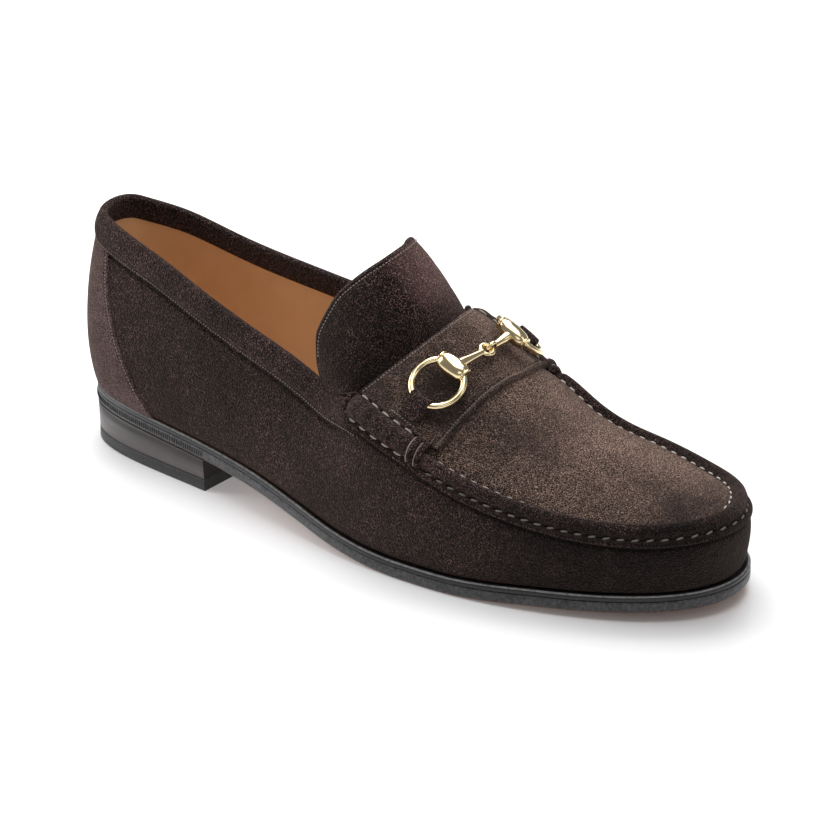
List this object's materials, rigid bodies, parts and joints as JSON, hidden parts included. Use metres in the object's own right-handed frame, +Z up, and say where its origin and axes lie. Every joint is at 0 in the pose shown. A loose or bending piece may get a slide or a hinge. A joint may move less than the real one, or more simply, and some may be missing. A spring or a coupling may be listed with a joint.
{
  "type": "loafer",
  "caption": "Dark brown suede bit loafer, right shoe: saddle strap with a pale gold metal bit, high tongue, hand-sewn apron, suede heel counter, black welted sole and a low stacked heel.",
  "frame": {"origin": "centre of the whole shoe's footprint box, on the floor under the heel and the ball", "axes": "+X from the heel to the toe, -Y to the outer (lateral) side, +Y to the inner (medial) side, +Z up"},
  "size_m": [0.306, 0.1026, 0.1116],
  "materials": {
    "suede_dark_brown": "short-napped suede, fully matt",
    "suede_warm_brown": "short-napped suede, fully matt",
    "suede_heel_brown": "short-napped suede, fully matt",
    "sole_edge_black": "waxed edge, semi-gloss",
    "welt_black": "waxed edge, satin",
    "heel_stack_brown": "waxed stacked layers, semi-gloss",
    "top_lift_black": "satin",
    "insole_tan": "smooth, satin",
    "pale_gold": "polished, pale gold plated"
  },
  "bodies": {
    "root": {"outsole": "sole_edge_black", "welt": "welt_black", "heel_stack": "heel_stack_brown", "top_lift": "top_lift_black", "insole": "insole_tan", "upper": "suede_dark_brown", "collar_band": "suede_dark_brown", "heel_counter": "suede_heel_brown", "saddle": "suede_warm_brown", "tongue": "suede_warm_brown", "side_roll_lateral": "suede_dark_brown", "side_roll_medial": "suede_dark_brown", "ring_tab_lateral": "suede_dark_brown", "ring_tab_medial": "suede_dark_brown", "bit_half_lateral": "pale_gold", "bit_half_medial": "pale_gold"}
  },
  "joints": []
}
